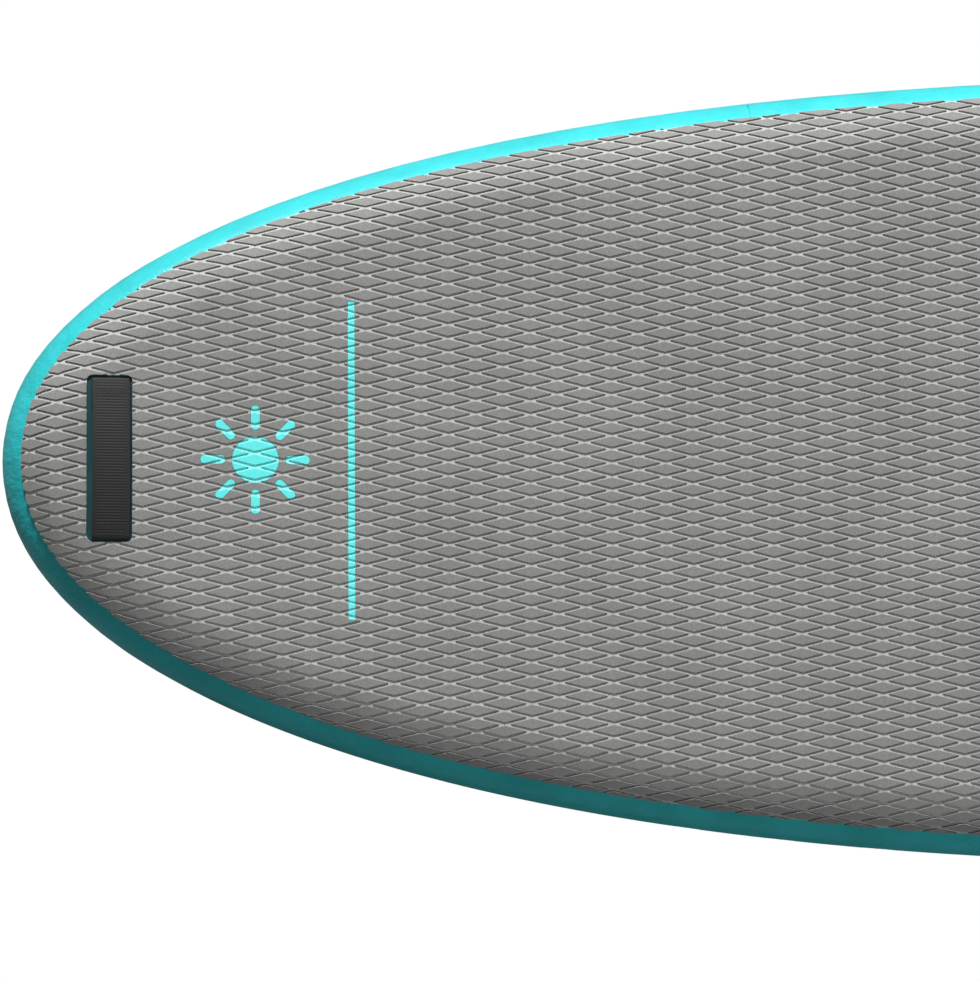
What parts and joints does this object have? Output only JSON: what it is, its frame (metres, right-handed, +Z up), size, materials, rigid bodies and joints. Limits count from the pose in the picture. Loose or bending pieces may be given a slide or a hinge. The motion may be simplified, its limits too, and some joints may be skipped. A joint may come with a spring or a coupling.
{
  "type": "inflatable stand up paddleboard",
  "caption": "Inflatable stand up paddleboard with upturned nose, foam deck pad, webbing handles, valve, towing and leash rings, removable centre fin and soft side fins.",
  "frame": {"origin": "on the flat of the bottom, on the centre line, half way along the board", "axes": "+X to the nose, +Y to port, +Z up out of the deck"},
  "size_m": [3.0479, 0.8642, 0.4859],
  "materials": {
    "rail_pvc": "glossy turquoise coated fabric",
    "skin_pvc": "white coated fabric with a fine weave",
    "thread": "polyester yarn",
    "pad_foam": "closed cell foam, brushed, diamond grooves",
    "inlay_foam": "closed cell foam, turquoise",
    "webbing": "woven black webbing",
    "grip_foam": "soft black sleeve",
    "valve_plastic": "moulded grey plastic",
    "valve_rubber": "soft seal rubber",
    "tether_plastic": "soft moulded plastic",
    "stainless": "polished stainless steel",
    "fin_plastic": "satin black moulded plastic",
    "side_fin_rubber": "soft black moulding",
    "brass": "plain brass"
  },
  "bodies": {
    "hull": {"bottom_skin": "skin_pvc", "deck_skin": "skin_pvc", "rail_band_port": "rail_pvc", "rail_band_starboard": "rail_pvc", "seam_tape_upper_port": "rail_pvc", "seam_tape_upper_starboard": "rail_pvc", "seam_tape_lower_port": "rail_pvc", "seam_tape_lower_starboard": "rail_pvc", "drop_stitch_thread_rows": "thread", "deck_pad": "pad_foam", "deck_pad_edge_port": "pad_foam", "deck_pad_edge_starboard": "pad_foam", "pad_inlay_line": "inlay_foam", "pad_inlay_mark": "inlay_foam", "nose_handle_webbing": "webbing", "tail_handle_webbing": "webbing", "centre_handle_webbing": "webbing", "centre_handle_grip": "grip_foam", "nose_handle_patch": "rail_pvc", "tail_handle_patch": "rail_pvc", "centre_handle_patch": "rail_pvc", "leash_ring_patch": "rail_pvc", "leash_ring_loop": "webbing", "tow_ring_patch": "skin_pvc", "tow_ring_loop": "webbing", "fin_box": "fin_plastic", "fin_box_patch": "skin_pvc", "side_fin_port": "side_fin_rubber", "side_fin_starboard": "side_fin_rubber", "side_fin_patch_port": "skin_pvc", "side_fin_patch_starboard": "skin_pvc", "valve_body": "valve_plastic", "valve_gasket": "valve_rubber", "valve_nut": "valve_plastic", "valve_spring": "stainless"},
    "centre_fin": {"centre_fin": "fin_plastic", "fin_roll_pin": "brass", "fin_nut_plate": "brass"},
    "fin_screw": {"fin_screw": "fin_plastic"},
    "valve_stem": {"valve_stem": "valve_plastic", "valve_seal": "valve_rubber"},
    "cap_tether": {"valve_cap_tether": "tether_plastic"},
    "valve_cap": {"valve_cap": "valve_plastic", "valve_cap_gasket": "valve_rubber"},
    "leash_ring": {"leash_ring": "stainless"},
    "tow_ring": {"tow_ring": "stainless"}
  },
  "joints": [
    {"name": "fin_slide", "type": "slide", "parent": "hull", "child": "centre_fin", "axis": [0.9994, 0, -0.0347], "range_m": [-0.03, 0.03]},
    {"name": "fin_screw_turn", "type": "hinge", "parent": "centre_fin", "child": "fin_screw", "pos_m": [-1.12098, 0, -0.0247], "axis": [-0.0347, 0, -0.9994], "continuous": true},
    {"name": "valve_press", "type": "slide", "parent": "hull", "child": "valve_stem", "axis": [0, 0, -1], "range_m": [0, 0.006], "stiffness_N_per_m": 700, "springref_m": -0.004, "deforming": ["valve_spring"]},
    {"name": "cap_lift", "type": "slide", "parent": "hull", "child": "cap_tether", "axis": [0, 0, 1], "range_m": [0, 0.025], "deforming": ["valve_cap_tether"]},
    {"name": "cap_turn", "type": "hinge", "parent": "cap_tether", "child": "valve_cap", "pos_m": [-0.975, 0.12, 0.16], "axis": [0, 0, 1], "range_deg": [0, 90]},
    {"name": "leash_ring_swing", "type": "hinge", "parent": "hull", "child": "leash_ring", "pos_m": [-1.2937, 0, 0.1646], "axis": [0, 1, 0], "range_deg": [0, 180]},
    {"name": "tow_ring_swing", "type": "hinge", "parent": "hull", "child": "tow_ring", "pos_m": [1.35487, 0, 0.07962], "axis": [0, 1, 0], "range_deg": [-75, 75]}
  ]
}
